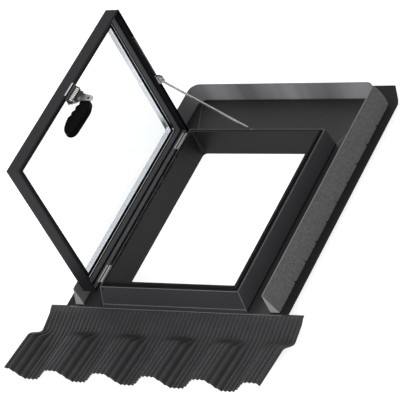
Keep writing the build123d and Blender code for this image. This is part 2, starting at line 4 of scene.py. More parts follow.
import bmesh
import bpy
from mathutils import Matrix, Vector


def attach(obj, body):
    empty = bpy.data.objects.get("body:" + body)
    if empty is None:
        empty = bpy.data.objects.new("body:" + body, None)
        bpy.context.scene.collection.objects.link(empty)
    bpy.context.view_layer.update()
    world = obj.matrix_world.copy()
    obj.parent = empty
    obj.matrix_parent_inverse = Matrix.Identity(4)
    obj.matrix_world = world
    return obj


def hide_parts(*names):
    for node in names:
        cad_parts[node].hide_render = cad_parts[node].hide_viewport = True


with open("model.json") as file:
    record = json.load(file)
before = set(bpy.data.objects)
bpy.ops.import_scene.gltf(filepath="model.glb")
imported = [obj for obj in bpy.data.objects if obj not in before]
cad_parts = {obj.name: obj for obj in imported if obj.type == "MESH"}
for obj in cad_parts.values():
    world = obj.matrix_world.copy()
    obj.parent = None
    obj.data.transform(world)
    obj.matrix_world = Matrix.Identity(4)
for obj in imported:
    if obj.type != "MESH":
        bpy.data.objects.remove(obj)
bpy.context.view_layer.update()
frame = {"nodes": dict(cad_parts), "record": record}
mm = 0.001

# node settings that come up again and again
plus, minus = {"operation": "ADD"}, {"operation": "SUBTRACT"}
times, over = {"operation": "MULTIPLY"}, {"operation": "DIVIDE"}
clampedTimes = {"operation": "MULTIPLY", "use_clamp": True}
larger = {"operation": "MAXIMUM"}
colours = {"data_type": "RGBA"}
smooth = {"interpolation_type": "SMOOTHSTEP"}


def hexColour(code):
    # sRGB hex to linear, with alpha 1
    out = []
    for i in (0, 2, 4):
        c = int(code[i:i + 2], 16) / 255
        out.append(c / 12.92 if c <= 0.04045 else ((c + 0.055) / 1.055) ** 2.4)
    return (*out, 1.0)


def addNode(tree, kind, settings=None, **links):
    # one node: plain settings, then values or sockets for its inputs, by name or as i0, i1 by number
    node = tree.nodes.new(kind)
    for key, value in (settings or {}).items():
        setattr(node, key, value)
    for key, value in links.items():
        numbered = key[0] == "i" and key[1:].isdigit()
        socket = node.inputs[int(key[1:])] if numbered else node.inputs[key.replace("_", " ")]
        if isinstance(value, bpy.types.NodeSocket):
            tree.links.new(value, socket)
        else:
            socket.default_value = value
    return node


def newMaterial(name):
    mat = bpy.data.materials.new(name)
    mat.use_nodes = True
    tree = mat.node_tree
    shader = next(n for n in tree.nodes if n.type == "BSDF_PRINCIPLED")
    where = addNode(tree, "ShaderNodeTexCoord").outputs["Object"]
    return mat, tree, shader, where


def wire(tree, shader, tone, sheen=None, bump=None):
    # the finish's end nodes into the shader
    tree.links.new(tone.outputs[2], shader.inputs["Base Color"])
    if sheen:
        tree.links.new(sheen.outputs["Result"], shader.inputs["Roughness"])
    if bump:
        tree.links.new(bump.outputs["Normal"], shader.inputs["Normal"])


def perMm(size):
    # texture scale for a feature of this many millimetres
    return 1000.0 / size


def dress(obj, material):
    obj.data.materials.clear()
    obj.data.materials.append(material)


# Finishes: each one's sizes are in millimetres

lacquerSet = {"drift": 130, "peel": 1.6, "peelDepth": 0.02, "spread": 0.05}


def lacquered(name, dark, light, rough, gloss):
    # stove lacquer on sheet or extrusion: slow drifts of tone and a faint orange peel, drawn large to show
    mat, tree, shader, where = newMaterial(name)
    drift = addNode(tree, "ShaderNodeTexNoise", Vector=where,
                    Scale=perMm(lacquerSet["drift"]), Detail=3.0).outputs["Fac"]
    peel = addNode(tree, "ShaderNodeTexNoise", Vector=where,
                   Scale=perMm(lacquerSet["peel"]), Detail=2.0).outputs["Fac"]
    tone = addNode(tree, "ShaderNodeMix", colours, i0=drift, i6=hexColour(dark), i7=hexColour(light))
    sheen = addNode(tree, "ShaderNodeMapRange", Value=drift,
                    To_Min=rough - lacquerSet["spread"], To_Max=rough + lacquerSet["spread"])
    bump = addNode(tree, "ShaderNodeBump", Height=peel, Distance=lacquerSet["peelDepth"] * mm)
    wire(tree, shader, tone, sheen, bump)
    shader.inputs["Specular IOR Level"].default_value = gloss
    return mat


pleatSet = {"drift": 45, "patchFrom": (0.3, 0.7), "patchTo": (0.75, 1.1), "grooveDull": 0.2}


def pleatedSheet(name, groove, ridge, rough, gloss):
    # lacquered sheet with pressed pleats: painted shade darkens the grooves against lighter ridges; the grooves are
    # also duller and the ridges satin
    mat, tree, shader, where = newMaterial(name)
    pleat = addNode(tree, "ShaderNodeAttribute", {"attribute_name": "pleat"}).outputs["Fac"]
    drift = addNode(tree, "ShaderNodeTexNoise", Vector=where,
                    Scale=perMm(pleatSet["drift"]), Detail=4.0).outputs["Fac"]
    fromLow, fromHigh = pleatSet["patchFrom"]
    toLow, toHigh = pleatSet["patchTo"]
    patchy = addNode(tree, "ShaderNodeMapRange", Value=drift, From_Min=fromLow, From_Max=fromHigh,
                     To_Min=toLow, To_Max=toHigh).outputs["Result"]
    share = addNode(tree, "ShaderNodeMath", clampedTimes, i0=pleat, i1=patchy).outputs[0]
    # painted shade: the tone runs from the dark groove colour to the lighter ridge colour
    tone = addNode(tree, "ShaderNodeMix", colours, i0=share, i6=hexColour(groove), i7=hexColour(ridge))
    sheen = addNode(tree, "ShaderNodeMapRange", Value=share, To_Min=rough + pleatSet["grooveDull"], To_Max=rough)
    wire(tree, shader, tone, sheen)
    shader.inputs["Specular IOR Level"].default_value = gloss
    return mat


rolledSet = {
    "stretch": (1.0, 0.35, 0.12), "band": 120, "line": 4, "lineDepth": 0.03, "spread": 0.06,
    "shadeToLight": (4.0, 10.0), "upstandLight": 0.9, "bandFrom": (0.35, 0.65), "bandTo": (0.55, 1.25),
}


def rolledSheet(name, dark, light, rough, gloss):
    # coil-coated flashing sheet: broad soft bands on the upstand; painted shade keeps the floor dark and painted light
    # makes the upstand lighter
    mat, tree, shader, where = newMaterial(name)
    drawn = addNode(tree, "ShaderNodeMapping", Vector=where, Scale=rolledSet["stretch"]).outputs["Vector"]
    bands = addNode(tree, "ShaderNodeTexNoise", Vector=drawn,
                    Scale=perMm(rolledSet["band"]), Detail=2.0).outputs["Fac"]
    lines = addNode(tree, "ShaderNodeTexNoise", Vector=drawn,
                    Scale=perMm(rolledSet["line"]), Detail=2.0).outputs["Fac"]
    # painted shade on the floor and painted light up the upstand: the tone is darkest below the low height and lighter
    # above the high one
    level = addNode(tree, "ShaderNodeSeparateXYZ", Vector=where).outputs["Z"]
    darkBelow, lightAbove = rolledSet["shadeToLight"]
    paintedLight = addNode(tree, "ShaderNodeMapRange", Value=level, From_Min=darkBelow * mm, From_Max=lightAbove * mm,
                    To_Max=rolledSet["upstandLight"]).outputs["Result"]
    fromLow, fromHigh = rolledSet["bandFrom"]
    toLow, toHigh = rolledSet["bandTo"]
    steps = addNode(tree, "ShaderNodeMapRange", Value=bands, From_Min=fromLow, From_Max=fromHigh,
                    To_Min=toLow, To_Max=toHigh).outputs["Result"]
    share = addNode(tree, "ShaderNodeMath", clampedTimes, i0=paintedLight, i1=steps).outputs[0]
    tone = addNode(tree, "ShaderNodeMix", colours, i0=share, i6=hexColour(dark), i7=hexColour(light))
    sheen = addNode(tree, "ShaderNodeMapRange", Value=lines,
                    To_Min=rough - rolledSet["spread"], To_Max=rough + rolledSet["spread"])
    bump = addNode(tree, "ShaderNodeBump", Height=lines, Distance=rolledSet["lineDepth"] * mm)
    wire(tree, shader, tone, sheen, bump)
    shader.inputs["Specular IOR Level"].default_value = gloss
    return mat


mouldSet = {"drift": 90, "spread": 0.07}


def moulded(name, dark, light, rough, gloss, grain, grainDepth):
    # moulded plastic or rubber: the fine eroded grain of the tool
    mat, tree, shader, where = newMaterial(name)
    drift = addNode(tree, "ShaderNodeTexNoise", Vector=where,
                    Scale=perMm(mouldSet["drift"]), Detail=4.0).outputs["Fac"]
    pits = addNode(tree, "ShaderNodeTexNoise", Vector=where, Scale=perMm(grain), Detail=3.0).outputs["Fac"]
    tone = addNode(tree, "ShaderNodeMix", colours, i0=drift, i6=hexColour(dark), i7=hexColour(light))
    sheen = addNode(tree, "ShaderNodeMapRange", Value=pits,
                    To_Min=rough - mouldSet["spread"], To_Max=rough + mouldSet["spread"])
    bump = addNode(tree, "ShaderNodeBump", Height=pits, Distance=grainDepth * mm)
    wire(tree, shader, tone, sheen, bump)
    shader.inputs["Specular IOR Level"].default_value = gloss
    return mat


platedSet = {"cloud": 14, "stretch": (1.0, 0.06, 1.0), "lineDepth": 0.015, "smoother": 0.08, "rougher": 0.1}


def plated(name, dark, light, rough, line):
    # plated or rolled metal: fine drawn lines and cloudy plating
    mat, tree, shader, where = newMaterial(name)
    cloud = addNode(tree, "ShaderNodeTexNoise", Vector=where,
                    Scale=perMm(platedSet["cloud"]), Detail=4.0).outputs["Fac"]
    drawn = addNode(tree, "ShaderNodeMapping", Vector=where, Scale=platedSet["stretch"]).outputs["Vector"]
    lines = addNode(tree, "ShaderNodeTexNoise", Vector=drawn, Scale=perMm(line), Detail=2.0).outputs["Fac"]
    tone = addNode(tree, "ShaderNodeMix", colours, i0=cloud, i6=hexColour(dark), i7=hexColour(light))
    sheen = addNode(tree, "ShaderNodeMapRange", Value=lines,
                    To_Min=rough - platedSet["smoother"], To_Max=rough + platedSet["rougher"])
    bump = addNode(tree, "ShaderNodeBump", Height=lines, Distance=platedSet["lineDepth"] * mm)
    wire(tree, shader, tone, sheen, bump)
    shader.inputs["Metallic"].default_value = 1.0
    return mat


foamSet = {
    "cell": 2.4, "lump": 9, "poreDepth": 0.5, "poreRange": (0.05, 0.4), "litFacing": (-0.7, -0.9),
    "rough": 0.95, "gloss": 0.2,
}


def cutFoam(name, dark, light, frontLitColour):
    # open-cell polyurethane foam, cut: pale cell walls round dark pores, drawn large so that they show
    mat, tree, shader, where = newMaterial(name)
    cells = addNode(tree, "ShaderNodeTexVoronoi", Vector=where, Scale=perMm(foamSet["cell"])).outputs["Distance"]
    lumps = addNode(tree, "ShaderNodeTexNoise", Vector=where,
                    Scale=perMm(foamSet["lump"]), Detail=4.0).outputs["Fac"]
    pores = addNode(tree, "ShaderNodeMath", times, i0=cells, i1=lumps).outputs[0]
    poreLow, poreHigh = foamSet["poreRange"]
    fill = addNode(tree, "ShaderNodeMapRange", Value=pores, From_Min=poreLow, From_Max=poreHigh).outputs["Result"]
    tone = addNode(tree, "ShaderNodeMix", colours, i0=fill, i6=hexColour(dark), i7=hexColour(light))
    # painted light: faces turned to the front are drawn paler than the rest of the foam
    normal = addNode(tree, "ShaderNodeNewGeometry").outputs["True Normal"]
    facing = addNode(tree, "ShaderNodeSeparateXYZ", Vector=normal).outputs["Y"]
    shadedEnd, litStart = foamSet["litFacing"]
    frontLight = addNode(tree, "ShaderNodeMapRange", Value=facing, From_Min=shadedEnd, From_Max=litStart).outputs["Result"]
    tone = addNode(tree, "ShaderNodeMix", colours, i0=frontLight, i6=tone.outputs[2], i7=hexColour(frontLitColour))
    bump = addNode(tree, "ShaderNodeBump", Height=pores, Distance=foamSet["poreDepth"] * mm)
    wire(tree, shader, tone, bump=bump)
    shader.inputs["Roughness"].default_value = foamSet["rough"]
    shader.inputs["Specular IOR Level"].default_value = foamSet["gloss"]
    return mat


glassSet = {"dust": 60, "haze": 0.012, "tint": "fcfdfd", "ior": 1.45}


def floatGlass(name):
    # float glass: clear, with hardly any tint and a trace of dust in the gloss
    mat, tree, shader, where = newMaterial(name)
    dust = addNode(tree, "ShaderNodeTexNoise", Vector=where,
                   Scale=perMm(glassSet["dust"]), Detail=4.0).outputs["Fac"]
    sheen = addNode(tree, "ShaderNodeMapRange", Value=dust, To_Min=0.0, To_Max=glassSet["haze"])
    tree.links.new(sheen.outputs["Result"], shader.inputs["Roughness"])
    shader.inputs["Base Color"].default_value = hexColour(glassSet["tint"])
    shader.inputs["Transmission Weight"].default_value = 1.0
    shader.inputs["IOR"].default_value = glassSet["ior"]
    return mat


finishes = {
    # polyurethane moulding, satin anthracite
    "frame_moulding": moulded("polyurethaneMouldedAnthracite", "151517", "1c1c1e",
                              rough=0.5, gloss=0.12, grain=0.9, grainDepth=0.04),
    # aluminium extrusion, satin anthracite lacquer
    "sash_metal": lacquered("aluminiumLacqueredAnthracite", "141318", "1b1a20", rough=0.42, gloss=0.12),
    # folded steel sheet, satin anthracite lacquer
    "flashing_metal": lacquered("steelSheetLacqueredAnthracite", "2b2b2d", "323234", rough=0.42, gloss=0.25),
    # pleated sheet, anthracite lacquer with painted shade in the grooves
    "apron_metal": pleatedSheet("pleatedSheetLacqueredAnthracite", "111112", "333335", rough=0.46, gloss=0.3),
    # butyl membrane, dull black
    "flange_membrane": moulded("butylMembraneBlack", "0b0b0c", "111112",
                               rough=0.6, gloss=0.15, grain=2.2, grainDepth=0.1),
    # polyurethane foam, knife cut, with painted light on the faces turned to the front
    "tile_foam": cutFoam("polyurethaneFoamCutGrey", "515151", "6e6e6e", frontLitColour="929292"),
    # extruded rubber, dull black
    "seal_rubber": moulded("epdmExtrudedBlack", "070707", "0e0e0e",
                           rough=0.6, gloss=0.12, grain=0.8, grainDepth=0.03),
    # rolled aluminium, bright
    "bead_metal": plated("aluminiumRolledBright", "b8b8ba", "d2d2d4", rough=0.3, line=0.5),
    # aluminium spacer bar, bright
    "spacer_metal": plated("aluminiumSpacerBright", "eceff4", "f6f8fb", rough=0.24, line=0.4),
    # float glass, clear
    "glass_clear": floatGlass("floatGlassClear"),
    # zinc plated steel, satin
    "fitting_steel": plated("steelZincPlated", "9a9a9a", "bcbcbc", rough=0.36, line=0.6),
    # moulded polyamide, black with a fine grain
    "grip_plastic": moulded("polyamideMouldedBlack", "040404", "080808",
                            rough=0.5, gloss=0.02, grain=0.7, grainDepth=0.04),
}
# finishes of single parts that differ from the rest of their slot
# the tray's sheet carries painted shade on its floor and painted light up its upstands
traySheet = rolledSheet("flashingSheetCoilCoated", "2a2a2b", "949496", rough=0.4, gloss=0.2)
zincFlake = lacquered("steelZincFlakeCoated", "9c9c9a", "b0b0ae", rough=0.5, gloss=0.5)
zincFlakeDull = lacquered("steelZincFlakeDull", "4e4e4c", "60605e", rough=0.5, gloss=0.5)
drawnSteel = plated("steelDrawnGrey", "868687", "a0a0a1", rough=0.4, line=0.6)
brightZinc = plated("steelZincBright", "e2e2e3", "f2f2f3", rough=0.25, line=0.6)
hingeZinc = lacquered("steelZincFlakeBright", "c6c6c4", "d8d8d6", rough=0.4, gloss=0.5)
pinSteel = moulded("steelPinBlackened", "0c0c0c", "141414", rough=0.4, gloss=0.2, grain=0.5, grainDepth=0.02)
screwBlack = moulded("steelScrewBlackened", "101010", "181818", rough=0.4, gloss=0.3, grain=0.5, grainDepth=0.02)
# lighter lacquer for a painted highlight along the upstand's hem
hemHighlight = lacquered("steelHemPaintedHighlight", "6e6e70", "868688", rough=0.34, gloss=0.5)
# lighter lacquer for painted highlight lines on the edge folds and creases
foldHighlight = lacquered("steelFoldPaintedHighlight", "666668", "767678", rough=0.36, gloss=0.5)
# a lighter copy of the flashing lacquer: painted light for the curb's shaded right side
cladLitSheet = lacquered("steelSheetLacqueredGreyLit", "424244", "4a4a4c", rough=0.42, gloss=0.25)
facingGrey = lacquered("aluminiumLacqueredGreyInner", "5c5c5d", "686869", rough=0.5, gloss=0.2)

ownFinish = {
    "flashing_tray": traySheet, "handle_bracket": zincFlakeDull, "stay_plate": zincFlake, "hinge_pins": pinSteel,
}
for place in ("lower", "upper"):
    for side in ("frame", "sash"):
        ownFinish[f"hinge_{place}_{side}_leaf"] = hingeZinc
slotOf = {s["node"]: s["material_slot"] for s in frame["record"]["subparts"]}
for node, obj in frame["nodes"].items():
    dress(obj, ownFinish.get(node, finishes[slotOf[node]]))
print("finishes on", len(frame["nodes"]), "nodes")


# Geometry Nodes helpers

def newTree(name, sizes):
    # a tree with one named float input for each size, and its geometry in and out
    tree = bpy.data.node_groups.new(name, "GeometryNodeTree")
    tree.interface.new_socket("Geometry", in_out="INPUT", socket_type="NodeSocketGeometry")
    for size in sizes:
        tree.interface.new_socket(size, in_out="INPUT", socket_type="NodeSocketFloat")
    tree.interface.new_socket("Geometry", in_out="OUTPUT", socket_type="NodeSocketGeometry")
    return tree, addNode(tree, "NodeGroupInput").outputs


def closeTree(tree, shape, material):
    real = addNode(tree, "GeometryNodeRealizeInstances", Geometry=shape)
    dressed = addNode(tree, "GeometryNodeSetMaterial", Geometry=real.outputs["Geometry"], Material=material)
    addNode(tree, "NodeGroupOutput", Geometry=dressed.outputs["Geometry"])


def inMetres(sizes):
    return {key: size * mm for key, size in sizes.items()}


def bakeTree(obj, tree, sizes):
    # the sizes go in by socket identifier, then the result becomes obj's plain mesh
    mod = obj.modifiers.new(tree.name, "NODES")
    mod.node_group = tree
    for item in tree.interface.items_tree:
        if item.in_out == "INPUT" and item.name in sizes:
            mod[item.identifier] = float(sizes[item.name])
    baked = bpy.data.meshes.new_from_object(obj.evaluated_get(bpy.context.evaluated_depsgraph_get()))
    obj.modifiers.remove(mod)
    obj.data = baked
    return obj


# Mesh helpers

def newObject(name, verts=(), edges=(), faces=()):
    mesh = bpy.data.meshes.new(name)
    mesh.from_pydata([tuple(v) for v in verts], list(edges), list(faces))
    obj = bpy.data.objects.new(name, mesh)
    bpy.context.collection.objects.link(obj)
    return obj


def fromBmesh(name, bm, material):
    # welds what touches, turns the normals outward and frees bm
    bmesh.ops.remove_doubles(bm, verts=bm.verts, dist=0.001 * mm)
    bmesh.ops.recalc_face_normals(bm, faces=bm.faces)
    obj = newObject(name)
    bm.to_mesh(obj.data)
    bm.free()
    obj.data.materials.append(material)
    return obj


def lathe(bm, centre, profile, steps=32, upright=False):
    # turned round an axis along Y, or along Z when upright, through the centre; profile is (radius, offset)
    rings = []
    for radius, offset in profile:
        ring = []
        for i in range(steps):
            a = 2 * math.pi * i / steps
            c, s = radius * math.cos(a), radius * math.sin(a)
            away = Vector((c, s, offset) if upright else (c, offset, s))
            ring.append(bm.verts.new((Vector(centre) + away) * mm))
        rings.append(ring)
    closed = profile[0][0] > 0
    joinRings(bm, rings + rings[:1] if closed else rings)


def joinRings(bm, rings):
    # a band of quads between each ring of points and the next
    for low, high in zip(rings, rings[1:]):
        for i in range(len(low)):
            j = (i + 1) % len(low)
            bm.faces.new((low[i], low[j], high[j], high[i]))


def prism(name, ends, material):
    # two end outlines of four points, with sides between them
    points = [Vector(p) * mm for end in ends for p in end]
    sides = [(i, (i + 1) % 4, (i + 1) % 4 + 4, i + 4) for i in range(4)]
    obj = newObject(name, points, faces=[(3, 2, 1, 0), (4, 5, 6, 7)] + sides)
    obj.data.materials.append(material)
    return obj


def settle(obj, body, slot, *nodes):
    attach(obj, body)
    if nodes:
        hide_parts(*nodes)
    print(obj.name, len(obj.data.polygons), "faces")


# Pleated apron: a sheet that follows the tile rolls, with round pleats run down it

apronSet = {
    "Width": 844.0, "Length": 270.0, "Top Edge": -325.0, "Top Level": 3.0, "Dip Level": -10.0, "End Lift": 15.0,
    "Dip Start": 7.0, "Dip End": 80.0, "Roll End": 138.0, "Roll Pitch": 163.5, "Roll Height": 41.5,
    "Roll Start": -9.0, "Pleat Pitch": 13.625, "Pleat Depth": 5.4, "Pleat Full": 25.0, "Sheet": 1.2,
}
# shares of a roll's pitch, points of the grid, and how far the painted shade in the grooves is evened out near the
# hatch
apronForm = {"rise": (0.0, 0.4), "fall": (0.55, 0.83), "across": 497, "down": 52, "evenShare": 0.5, "evenTone": 0.72}

tree, sizes = newTree("pleatedApron", apronSet)
grid = addNode(tree, "GeometryNodeMeshGrid", Size_X=sizes["Width"], Size_Y=sizes["Length"],
               Vertices_X=apronForm["across"], Vertices_Y=apronForm["down"])
position = addNode(tree, "GeometryNodeInputPosition").outputs[0]
at = addNode(tree, "ShaderNodeSeparateXYZ", Vector=position).outputs
half = addNode(tree, "ShaderNodeMath", times, i0=sizes["Length"], i1=0.5).outputs[0]
run = addNode(tree, "ShaderNodeMath", minus, i0=half, i1=at["Y"]).outputs[0]
# tile roll across the roof: rise, flat crest, shorter fall and flat trough in each pitch
off = addNode(tree, "ShaderNodeMath", minus, i0=at["X"], i1=sizes["Roll Start"]).outputs[0]
turns = addNode(tree, "ShaderNodeMath", over, i0=off, i1=sizes["Roll Pitch"]).outputs[0]
phase = addNode(tree, "ShaderNodeMath", {"operation": "FRACT"}, i0=turns).outputs[0]
rise, fall = [addNode(tree, "ShaderNodeMapRange", smooth, Value=phase, From_Min=apronForm[part][0],
                      From_Max=apronForm[part][1]).outputs["Result"] for part in ("rise", "fall")]
wave = addNode(tree, "ShaderNodeMath", minus, i0=rise, i1=fall).outputs[0]
swell = addNode(tree, "ShaderNodeMapRange", smooth, Value=run, From_Min=sizes["Dip End"], From_Max=sizes["Roll End"],
                To_Max=sizes["Roll Height"]).outputs["Result"]
roll = addNode(tree, "ShaderNodeMath", times, i0=wave, i1=swell).outputs[0]
# fall to the dip below the hatch, then a slow lift to the lower edge
dip = addNode(tree, "ShaderNodeMapRange", Value=run, From_Min=sizes["Dip Start"], From_Max=sizes["Dip End"],
              To_Min=sizes["Top Level"], To_Max=sizes["Dip Level"]).outputs["Result"]
lift = addNode(tree, "ShaderNodeMapRange", Value=run, From_Min=sizes["Roll End"], From_Max=sizes["Length"],
               To_Max=sizes["End Lift"]).outputs["Result"]
level = addNode(tree, "ShaderNodeMath", plus, i0=dip, i1=lift).outputs[0]
# pleats: round ridges with sharp grooves between them
ridge = addNode(tree, "ShaderNodeMath", over, i0=at["X"], i1=sizes["Pleat Pitch"]).outputs[0]
ridge = addNode(tree, "ShaderNodeMath", times, i0=ridge, i1=math.pi).outputs[0]
ridge = addNode(tree, "ShaderNodeMath", {"operation": "SINE"}, i0=ridge).outputs[0]
ridge = addNode(tree, "ShaderNodeMath", {"operation": "ABSOLUTE"}, i0=ridge).outputs[0]
groove = addNode(tree, "ShaderNodeMath", minus, i0=1.0, i1=ridge).outputs[0]
depth = addNode(tree, "ShaderNodeMapRange", Value=run, From_Min=sizes["Dip Start"], From_Max=sizes["Pleat Full"],
                To_Max=sizes["Pleat Depth"]).outputs["Result"]
groove = addNode(tree, "ShaderNodeMath", times, i0=groove, i1=depth).outputs[0]
height = addNode(tree, "ShaderNodeMath", plus, i0=level, i1=roll).outputs[0]
height = addNode(tree, "ShaderNodeMath", minus, i0=height, i1=groove).outputs[0]
slope = addNode(tree, "ShaderNodeMath", minus, i0=sizes["Top Edge"], i1=run).outputs[0]
place = addNode(tree, "ShaderNodeCombineXYZ", X=at["X"], Y=slope, Z=height).outputs[0]
# the painted shade in the grooves is evened out near the hatch and reaches full strength further down
even = addNode(tree, "ShaderNodeMapRange", Value=run, From_Min=sizes["Pleat Full"], From_Max=sizes["Roll End"],
               To_Min=apronForm["evenShare"], To_Max=0.0).outputs["Result"]
grooveShade = addNode(tree, "ShaderNodeMix", {"data_type": "FLOAT"}, i0=even, i2=ridge, i3=apronForm["evenTone"]).outputs[0]
marked = addNode(tree, "GeometryNodeStoreNamedAttribute", {"data_type": "FLOAT", "domain": "POINT"},
                 Geometry=grid.outputs["Mesh"], Name="pleat", Value=grooveShade).outputs[0]
top = addNode(tree, "GeometryNodeSetPosition", Geometry=marked, Position=place).outputs[0]
# the same sheet again one thickness lower, with the edges between them
under = addNode(tree, "ShaderNodeMath", times, i0=sizes["Sheet"], i1=-1.0).outputs[0]
down = addNode(tree, "ShaderNodeCombineXYZ", Z=under).outputs[0]
below = addNode(tree, "GeometryNodeExtrudeMesh", Mesh=top, Offset=down, Offset_Scale=1.0,
                Individual=False).outputs["Mesh"]
below = addNode(tree, "GeometryNodeFlipFaces", Mesh=below).outputs[0]
sheet = addNode(tree, "GeometryNodeJoinGeometry")
tree.links.new(top, sheet.inputs[0])
tree.links.new(below, sheet.inputs[0])
sheet = addNode(tree, "GeometryNodeMergeByDistance", Geometry=sheet.outputs[0], Distance=0.01 * mm).outputs[0]
sheet = addNode(tree, "GeometryNodeSetShadeSmooth", Geometry=sheet).outputs[0]
closeTree(tree, sheet, finishes["apron_metal"])
apron = bakeTree(newObject("apronSheet"), tree, inMetres(apronSet))
settle(apron, "frame", "apron_metal", "apron_pleated")


# Beads swept along a path: the upstand's hem in a painted highlight, the curb's bulb seal, painted shade strips on the
# hinges and painted highlight lines on the edge folds

beadTree, sizes = newTree("beadAlongPath", ["Half Width", "Half Height"])
line = addNode(beadTree, "GeometryNodeMeshToCurve", Mesh=sizes["Geometry"]).outputs["Curve"]
line = addNode(beadTree, "GeometryNodeSetCurveNormal", {"mode": "Z_UP"}, Curve=line).outputs["Curve"]
ring = addNode(beadTree, "GeometryNodeCurvePrimitiveCircle", Resolution=14, Radius=1.0).outputs["Curve"]
flat = addNode(beadTree, "ShaderNodeCombineXYZ", X=sizes["Half Width"], Y=sizes["Half Height"], Z=1.0).outputs[0]
ring = addNode(beadTree, "GeometryNodeTransform", Geometry=ring, Scale=flat).outputs["Geometry"]
bead = addNode(beadTree, "GeometryNodeCurveToMesh", Curve=line, Profile_Curve=ring, Fill_Caps=True).outputs["Mesh"]
bead = addNode(beadTree, "GeometryNodeSetShadeSmooth", Geometry=bead).outputs[0]
closeTree(beadTree, bead, None)


def beadAlong(name, paths, halfWide, halfTall, material, closed=False):
    points, edges = [], []
    for path in paths:
        first = len(points)
        points += [Vector(p) * mm for p in path]
        edges += [(i, i + 1) for i in range(first, len(points) - 1)]
        if closed:
            edges.append((len(points) - 1, first))
    obj = newObject(name, points, edges)
    bakeTree(obj, beadTree, {"Half Width": halfWide * mm, "Half Height": halfTall * mm})
    dress(obj, material)
    return obj


def roundedRing(halfX, lowY, highY, radius, level, steps=6, isOpen=False):
    # points of a rounded path; the open one leaves the low side out
    corners = [(-halfX + radius, highY - radius, 90, 180), (halfX - radius, highY - radius, 0, 90)]
    if not isOpen:
        corners += [(halfX - radius, lowY + radius, 270, 360), (-halfX + radius, lowY + radius, 180, 270)]
    points = []
    for cx, cy, start, end in corners:
        for i in range(steps + 1):
            turn = math.radians(end + (start - end) * i / steps)
            points.append((cx + radius * math.cos(turn), cy + radius * math.sin(turn), level))
    if isOpen:
        points = [(-halfX, lowY, level)] + points + [(halfX, lowY, level)]
    return points


hemSet = {"halfX": 314.5, "front": -318.0, "back": 487.5, "radius": 27.5, "level": 66.4, "wide": 1.3, "tall": 1.6}
hemPath = roundedRing(hemSet["halfX"], hemSet["front"], hemSet["back"], hemSet["radius"], hemSet["level"], isOpen=True)
# the hem's lighter lacquer is a painted highlight on the upstand's top edge
hem = beadAlong("upstandHem", [hemPath], hemSet["wide"], hemSet["tall"], hemHighlight)
settle(hem, "frame", "flashing_metal")

sealSet = {"halfX": 221.8, "halfY": 296.8, "radius": 3.0, "level": 65.4, "wide": 2.15, "tall": 5.1}
sealPath = roundedRing(sealSet["halfX"], -sealSet["halfY"], sealSet["halfY"], sealSet["radius"], sealSet["level"])
seal = beadAlong("curbBulbSeal", [sealPath], sealSet["wide"], sealSet["tall"], finishes["seal_rubber"], closed=True)
settle(seal, "frame", "seal_rubber", "curb_gasket")


# Pan head screws with a cross recess, set on the faces that they hold down

headSet = {"Radius": 3.0, "Height": 1.3, "Slot Length": 3.6, "Slot Width": 0.9}
headForm = {"topShare": 0.72, "sides": 28}
headTree, sizes = newTree("crossHeadScrews", headSet)
narrow = addNode(headTree, "ShaderNodeMath", times, i0=sizes["Radius"], i1=headForm["topShare"]).outputs[0]
head = addNode(headTree, "GeometryNodeMeshCone", Vertices=headForm["sides"], Radius_Top=narrow,
               Radius_Bottom=sizes["Radius"], Depth=sizes["Height"]).outputs["Mesh"]
up = addNode(headTree, "ShaderNodeCombineXYZ", Z=sizes["Height"]).outputs[0]
recess = addNode(headTree, "GeometryNodeMeshBoolean", {"operation": "DIFFERENCE"}, Mesh_1=head)
for sideX, sideY in (("Slot Length", "Slot Width"), ("Slot Width", "Slot Length")):
    box = addNode(headTree, "ShaderNodeCombineXYZ", X=sizes[sideX], Y=sizes[sideY], Z=sizes["Height"]).outputs[0]
    cut = addNode(headTree, "GeometryNodeMeshCube", Size=box).outputs["Mesh"]
    cut = addNode(headTree, "GeometryNodeTransform", Geometry=cut, Translation=up).outputs["Geometry"]
    headTree.links.new(cut, recess.inputs["Mesh 2"])
aim = addNode(headTree, "GeometryNodeInputNamedAttribute", {"data_type": "FLOAT_VECTOR"}, Name="aim").outputs[0]
turn = addNode(headTree, "FunctionNodeAlignRotationToVector", {"axis": "Z"}, Vector=aim).outputs[0]
heads = addNode(headTree, "GeometryNodeInstanceOnPoints", Points=sizes["Geometry"],
                Instance=recess.outputs["Mesh"], Rotation=turn)
closeTree(headTree, heads.outputs["Instances"], finishes["fitting_steel"])


def screwHeads(name, places, aimAt):
    obj = newObject(name, [Vector(p) * mm for p in places])
    layer = obj.data.attributes.new("aim", "FLOAT_VECTOR", "POINT")
    for i in range(len(places)):
        layer.data[i].vector = Vector(aimAt).normalized()
    return bakeTree(obj, headTree, inMetres(headSet))


coverScrewSet = {"places": [(-222.5, -307.6, 57.4), (222.5, -307.6, 57.4)], "aim": (0, -62.0, 20.0)}
coverScrews = screwHeads("coverScrewHeads", coverScrewSet["places"], coverScrewSet["aim"])
dress(coverScrews, screwBlack)
settle(coverScrews, "frame", "fitting_steel", "front_cover_screws")

leafScrewSet = {"x": -238.3, "z": 27.3, "ys": (-268, -228, 248, 288), "aim": (-62.0, 0, 10.0)}
leafPlaces = [(leafScrewSet["x"], y, leafScrewSet["z"]) for y in leafScrewSet["ys"]]
leafScrews = screwHeads("hingeScrewHeads", leafPlaces, leafScrewSet["aim"])
settle(leafScrews, "frame", "fitting_steel", "hinge_frame_screws")


# Moulded grip with finger steps, rounded towards both faces

